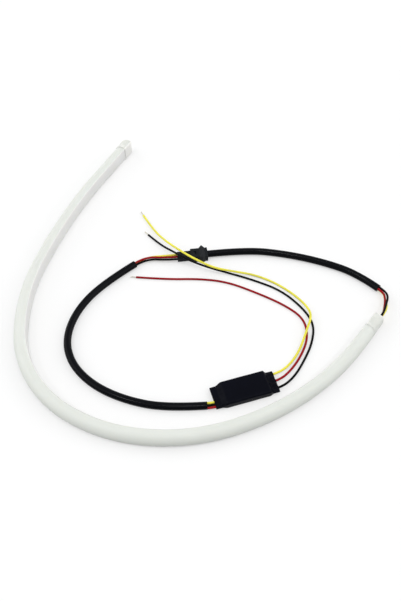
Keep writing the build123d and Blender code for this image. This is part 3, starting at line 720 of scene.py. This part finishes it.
class BuildEnds(bpy.types.Operator):
    """End cap at the far tip and boot at the lead end"""
    bl_idname = "running_light.ends"
    bl_label = "Cap and boot"

    def execute(self, context):
        settings = context.scene.running_light.sleeve
        self.cap(settings)
        self.boot(settings)
        return {"FINISHED"}

    def cap(self, settings):
        """Slip-over cap: rings from its round end along the outside to its mouth, and back inside."""
        section = sleeve_section(settings.depth, settings.height, settings.rise, settings.edge)
        wall, lap, lip, bend = settings.cap_wall, settings.cap_lap, settings.cap_lip, settings.cap_round
        skin = grown_outline(section, wall)
        wide, high = settings.depth / 2 + wall, settings.height / 2 + wall
        rings = []
        for step in range(CAP_STEPS + 1):
            turn = pi / 2 * step / CAP_STEPS
            inset = bend * (1 - sin(turn))
            ring = [(x * (1 - inset / wide), y * (1 - inset / high)) for x, y in skin]
            rings.append((bend * (1 - cos(turn)) - settings.cap_end, ring))
        for step in range(LIP_STEPS + 1):
            turn = pi / 2 * step / LIP_STEPS
            ring = grown_outline(section, wall - lip * (1 - cos(turn)))
            rings.append((lap - lip * (1 - sin(turn)), ring))
        rings += [(lap, section), (0.0, section)]
        out = Vector((sin(settings.heading), -cos(settings.heading), 0))
        ahead = Vector((cos(settings.heading), sin(settings.heading), 0))
        tip = Vector(settings.tip) + Vector((0, 0, settings.middle))
        points = [tip + ahead * along + out * x + Vector((0, 0, y))
                  for along, ring in rings for x, y in ring]
        count = len(section)
        ends = [tuple(range(count)), tuple(reversed(range(len(points) - count, len(points))))]
        mesh = plain_mesh("tip_cap", points, [], tube_faces(len(rings), count) + ends)
        mesh.polygons.foreach_set("use_smooth", [True] * len(mesh.polygons))
        mesh.materials.append(moulded_silicone("cap_silicone", settings, -out, points))
        settle(link("tip_cap", mesh), "silicone_cap", "far_end_cap")

    def boot(self, settings):
        """The boot: a node of the part, with softened edges."""
        heading = settings.heading + sum(radians(angle) for radius, angle in SLEEVE_BENDS)
        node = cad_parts["lead_end_boot"]
        points = [node.matrix_world @ vertex.co for vertex in node.data.vertices]
        back = Vector((-sin(heading), cos(heading), 0))
        surface = moulded_silicone("boot_silicone", settings, back, points)
        soften(dress("lead_end_boot", surface), BOOT_EDGE)


class BuildStrip(bpy.types.Operator):
    """Lamp strip inside the sleeve"""
    bl_idname = "running_light.strip"
    bl_label = "Lamp strip"

    def execute(self, context):
        dress("flex_circuit", printed_board("strip_mask", colour(236, 236, 230), colour(214, 196, 160)))
        dress("white_leds", phosphor("white_phosphor", colour(240, 214, 96), colour(240, 240, 232)))
        dress("amber_leds", phosphor("amber_phosphor", colour(238, 158, 52), colour(240, 236, 222)))
        dress("strip_resistors", moulded_plastic("strip_resistor", colour(36, 36, 38)))
        return {"FINISHED"}


def lay_cord(name, route, diameter, surface):
    """Round cord on one smooth line that follows a route's points."""
    curve = bpy.data.curves.new(name, "CURVE")
    curve.dimensions = "3D"
    line = curve.splines.new("NURBS")
    line.points.add(len(route) - 1)
    for point, place in zip(line.points, route):
        point.co = (*place, 1)
    line.order_u = 3
    line.use_endpoint_u = True
    line.resolution_u = CORD_STEPS
    curve.bevel_depth = diameter / 2
    curve.bevel_resolution = CORD_ROUND_STEPS
    curve.use_fill_caps = True
    curve.materials.append(surface)
    return link(name, curve)


def insulations(leads):
    """The three wire finishes, made once."""
    made = {}
    for tone in ("red", "yellow", "black"):
        name = "insulation_" + tone
        made[tone] = bpy.data.materials.get(name) or insulation(name, getattr(leads, tone))
    return made


class BuildCables(bpy.types.Operator):
    """Tail cable with its connector, and feed cable with its stubs at the module"""
    bl_idname = "running_light.cables"
    bl_label = "Cables and connector"

    def execute(self, context):
        leads = context.scene.running_light.leads
        surface = sheath(leads.sheath)
        halves = [dress(name, moulded_plastic(name + "_moulding", leads.connector))
                  for name in ("connector_socket", "connector_plug")]
        for half in halves:
            soften(half, CONNECTOR_EDGE)
        contact = metal("plated_contact", colour(226, 206, 160), 0.3)
        dress("socket_pins", contact)
        dress("plug_terminals", contact)
        tail = settle(lay_cord("tail_lead", TAIL_ROUTE, leads.cable, surface), "cable", "tail_cable")
        for tone, finish in insulations(leads).items():
            stub = lay_cord("module_stub_" + tone, MODULE_ROUTES[tone], leads.wire, finish)
            settle(stub, "wire_" + tone, "module_wire_" + tone)
        feed = settle(lay_cord("feed_lead", FEED_ROUTE, leads.cable, surface), "cable", "feed_cable")
        return {"FINISHED"}


class BuildWires(bpy.types.Operator):
    """Wires of the lamp, the plug and the supply"""
    bl_idname = "running_light.wires"
    bl_label = "Wires"

    def execute(self, context):
        leads = context.scene.running_light.leads
        # Names of the wires and of their nodes, their routes, the point where they leave, and their far ends
        groups = [("lamp_lead_", "lamp_wire_", LAMP_ROUTES, 2, "object"),
                  ("plug_lead_", "feed_wire_", PLUG_ROUTES, 1, "object"),
                  ("supply_lead_", "supply_wire_", SUPPLY_ROUTES, 1, "bare")]
        for name, node, routes, leaves, far_end in groups:
            for tone, finish in insulations(leads).items():
                route = routes[tone]
                wire = lay_cord(name + tone, route, leads.wire, finish)
                settle(wire, "wire_" + tone, node + tone)
        return {"FINISHED"}


def strand_tree():
    """Twisted strands at every seed point, along the point's own direction."""
    sizes = {"Length": "Float", "Bundle": "Float", "Strand": "Float", "Strands": "Int", "Twist": "Float",
             "Seed": "Int", "Material": "Material"}
    nodes, given, identifiers = grown_tree("twisted_strands", sizes)
    line = nodes.add("GeometryNodeCurvePrimitiveLine",
                     sockets={"Start": (0, 0, 0), "End": nodes.vector(0.0, 0.0, given["Length"])})
    line = nodes.add("GeometryNodeResampleCurve", sockets={"Curve": line, "Count": STRAND_STEPS})
    many = nodes.add("GeometryNodeDuplicateElements", {"domain": "SPLINE"},
                     {"Geometry": line, "Amount": given["Strands"] + 1})
    number = many.other("Duplicate Index")
    share = nodes.add("GeometryNodeSplineParameter", out="Factor")
    ragged = nodes.add("FunctionNodeRandomValue",
                       sockets={"Min": STRAND_SHORTEST, "Max": 1.0, "ID": number, "Seed": given["Seed"]})
    turn = number * (2 * pi) / given["Strands"] + share * given["Twist"]
    ring = given["Bundle"] * number.math("MINIMUM", number, 1) * (1.0 + share * share * STRAND_FLARE)
    spot = nodes.vector(ring * turn.math("COSINE", turn), ring * turn.math("SINE", turn),
                        share * given["Length"] * ragged)
    many = nodes.add("GeometryNodeSetPosition", sockets={"Geometry": many, "Position": spot})
    round_section = nodes.add("GeometryNodeCurvePrimitiveCircle",
                              sockets={"Resolution": STRAND_SIDES, "Radius": given["Strand"]})
    bundle = nodes.add("GeometryNodeCurveToMesh",
                       sockets={"Curve": many, "Profile Curve": round_section, "Fill Caps": True})
    bundle = nodes.add("GeometryNodeSetShadeSmooth", sockets={"Geometry": bundle})
    way = nodes.add("GeometryNodeInputNamedAttribute", {"data_type": "FLOAT_VECTOR"}, {"Name": "way"})
    turned = nodes.add("FunctionNodeAlignRotationToVector", {"axis": "Z"}, {"Vector": way})
    placed = nodes.add("GeometryNodeInstanceOnPoints",
                       sockets={"Points": given["Geometry"], "Instance": bundle, "Rotation": turned})
    return finish_tree(nodes, given, placed), identifiers


class BuildBareEnds(bpy.types.Operator):
    """Twisted strands at the stripped ends of the supply wires"""
    bl_idname = "running_light.bare_ends"
    bl_label = "Bare wire ends"

    def execute(self, context):
        leads = context.scene.running_light.leads
        routes = SUPPLY_ROUTES.values()
        seed = plain_mesh("bare_ends", [route[-1] for route in routes], [], [])
        ways = seed.attributes.new("way", "FLOAT_VECTOR", "POINT")
        for slot, route in zip(ways.data, routes):
            slot.vector = (Vector(route[-1]) - Vector(route[-2])).normalized()
        tree, identifiers = strand_tree()
        values = {"Length": leads.bare, "Bundle": leads.bundle, "Strand": leads.strand,
                  "Strands": leads.strands, "Twist": STRAND_TWIST, "Seed": STRAND_SEED,
                  "Material": metal("tinned_strand", colour(206, 202, 192), 0.34)}
        strands = grow("bare_strands", seed, tree, identifiers, values)
        settle(strands, "tinned", "bare_wire_tips")
        return {"FINISHED"}


def eased(value, low, high):
    share = min(1.0, max(0.0, (value - low) / (high - low)))
    return share * share * (3 - 2 * share)


def film_section(settings, along, side, up):
    """A point of the film: side and up run round a square, along is the place along the module."""
    near_ear, start, stop, far_ear = MODULE_STATIONS[:4]
    swell = eased(along, near_ear, start) * (1 - eased(along, stop, far_ear))
    scale = (abs(side) ** FILM_SQUARENESS + abs(up) ** FILM_SQUARENESS) ** (-1 / FILM_SQUARENESS)
    y = side * scale * (settings.ear_width + (settings.width - settings.ear_width) * swell) / 2
    rows = NEAR_ROWS if along < start else FAR_ROWS
    over_wire = max(1.0 - ((y - row) / ROW_REACH) ** 2 for row in rows)
    pinched = settings.ear_height / 2 * (ROW_DIP + (1 - ROW_DIP) * max(0.0, over_wire) ** 0.5)
    half = pinched + (settings.height / 2 - pinched) * swell
    middle = settings.ear_middle + (settings.height / 2 - settings.ear_middle) * swell
    taper = swell * (1 - swell) * 4
    fold = noise.noise(Vector((along * 60, y * 420, up * 2 + 5))) * taper * 1.6
    sag = noise.noise(Vector((along * 90, y * 90, up * 0.5))) * swell - 0.5 * swell * (1 - side * side)
    z = middle + up * scale * (half + settings.wrinkle * (fold + sag))
    return Vector((along, y, max(z, FILM_LOWEST)))


class BuildModule(bpy.types.Operator):
    """Control module: shrunk film over its board and parts"""
    bl_idname = "running_light.module"
    bl_label = "Control module"

    def execute(self, context):
        settings = context.scene.running_light.module
        ring = [(-1 + 2 * step / FILM_ACROSS, 1) for step in range(FILM_ACROSS)]
        ring += [(1, 1 - 2 * step / FILM_UPRIGHT) for step in range(FILM_UPRIGHT)]
        ring += [(-side, -up) for side, up in ring]
        place = Matrix.Translation(MODULE_ORIGIN) @ Matrix.Rotation(radians(MODULE_HEADING), 4, "Z")
        end = MODULE_STATIONS[-1]
        points = [place @ film_section(settings, end * at / FILM_RINGS, side, up)
                  for at in range(FILM_RINGS + 1) for side, up in ring]
        mesh = plain_mesh("module_film", points, [], tube_faces(FILM_RINGS + 1, len(ring)))
        mesh.polygons.foreach_set("use_smooth", [True] * len(mesh.polygons))
        mesh.materials.append(shrink_film(settings))
        film = link("module_film", mesh)
        wall = film.modifiers.new("Film", "SOLIDIFY")
        wall.thickness = settings.film
        wall.offset = -1
        settle(film, "jacket", "module_jacket")
        dress("module_board", printed_board("board_mask", colour(34, 92, 52), colour(70, 130, 78)))
        case = moulded_plastic("part_moulding", colour(30, 30, 32))
        for name in ("module_chip", "module_transistors", "module_resistors"):
            dress(name, case)
        dress("module_capacitor", metal("can_metal", colour(206, 206, 206), 0.35))
        return {"FINISHED"}


class BuildStage(bpy.types.Operator):
    """Floor, lamps, surroundings and camera"""
    bl_idname = "running_light.stage"
    bl_label = "Stage"

    def execute(self, context):
        scene = context.scene
        settings = scene.running_light.stage
        scene.view_settings.view_transform = "Standard"
        self.floor(settings)
        self.surroundings(scene, settings)
        for name, strength, width, way in LAMPS:
            self.lamp(name, getattr(settings, strength), width, way)
        eye = bpy.data.cameras.new("camera")
        eye.lens = settings.lens
        eye.sensor_width = SENSOR
        camera = link("camera", eye)
        camera.location = settings.eye
        camera.rotation_euler = Euler((pi / 2 - settings.dip, 0, 0))
        scene.camera = camera
        return {"FINISHED"}

    def lamp(self, name, strength, width, way):
        """Sun lamp so many degrees wide, shining along a way."""
        sun = bpy.data.lights.new(name, "SUN")
        sun.energy = strength
        sun.angle = radians(width)
        link(name, sun).rotation_euler = Vector(way).to_track_quat("-Z", "Y").to_euler()

    def floor(self, settings):
        """Pale floor that shows a share of plain white, and throws back less light than it shows."""
        ways = ((-1, -1), (1, -1), (1, 1), (-1, 1))
        corners = [(x * FLOOR_HALF, y * FLOOR_HALF, FLOOR_LEVEL) for x, y in ways]
        floor = link("floor", plain_mesh("floor", corners, [], [(0, 1, 2, 3)]))
        surface = bpy.data.materials.new("pale_floor")
        surface.use_nodes = True
        nodes = Nodes(surface.node_tree)
        surface.node_tree.nodes.clear()
        seen = nodes.seen()
        paint = nodes.tint(seen, settings.bounce, settings.floor)
        matt = nodes.add("ShaderNodeBsdfDiffuse", sockets={"Color": paint})
        white = nodes.add("ShaderNodeEmission", sockets={"Color": WHITE, "Strength": 1.0})
        mixed = nodes.add("ShaderNodeMixShader", sockets={0: seen * FLOOR_WHITE, 1: matt, 2: white})
        nodes.add("ShaderNodeOutputMaterial", sockets={"Surface": mixed})
        floor.data.materials.append(surface)

    def surroundings(self, scene, settings):
        """Even light from all round, and plain white where it is seen."""
        world = bpy.data.worlds.new("surroundings")
        world.use_nodes = True
        scene.world = world
        world.node_tree.nodes.clear()
        nodes = Nodes(world.node_tree)
        even = nodes.add("ShaderNodeBackground", sockets={"Color": SKY_TONE, "Strength": settings.sky})
        white = nodes.add("ShaderNodeBackground", sockets={"Color": WHITE, "Strength": 1.0})
        mixed = nodes.add("ShaderNodeMixShader", sockets={0: nodes.seen(), 1: even, 2: white})
        nodes.add("ShaderNodeOutputWorld", sockets={"Surface": mixed})


BUILDERS = (BuildSleeve, BuildEnds, BuildStrip, BuildCables, BuildWires, BuildBareEnds, BuildModule,
            BuildStage)


class RunningLightPanel(bpy.types.Panel):
    """Builds the running light piece by piece"""
    bl_idname = "VIEW3D_PT_running_light"
    bl_label = "Running light"
    bl_space_type = "VIEW_3D"
    bl_region_type = "UI"
    bl_category = "Running light"

    def draw(self, context):
        for builder in BUILDERS:
            self.layout.operator(builder.bl_idname)
        settings = context.scene.running_light
        for group in (settings.sleeve, settings.leads, settings.module, settings.stage):
            box = self.layout.box()
            for name in group.bl_rna.properties.keys():
                if name not in ("rna_type", "name"):
                    box.prop(group, name)


CLASSES = (SleeveSettings, LeadSettings, ModuleSettings, StageSettings, LightSettings, *BUILDERS,
           RunningLightPanel)


def register():
    for each in CLASSES:
        bpy.utils.register_class(each)
    bpy.types.Scene.running_light = PointerProperty(type=LightSettings)


def unregister():
    del bpy.types.Scene.running_light
    for each in reversed(CLASSES):
        bpy.utils.unregister_class(each)


def main():
    register()
    for builder in BUILDERS:
        group, name = builder.bl_idname.split(".")
        getattr(getattr(bpy.ops, group), name)()


if __name__ == "__main__":
    main()
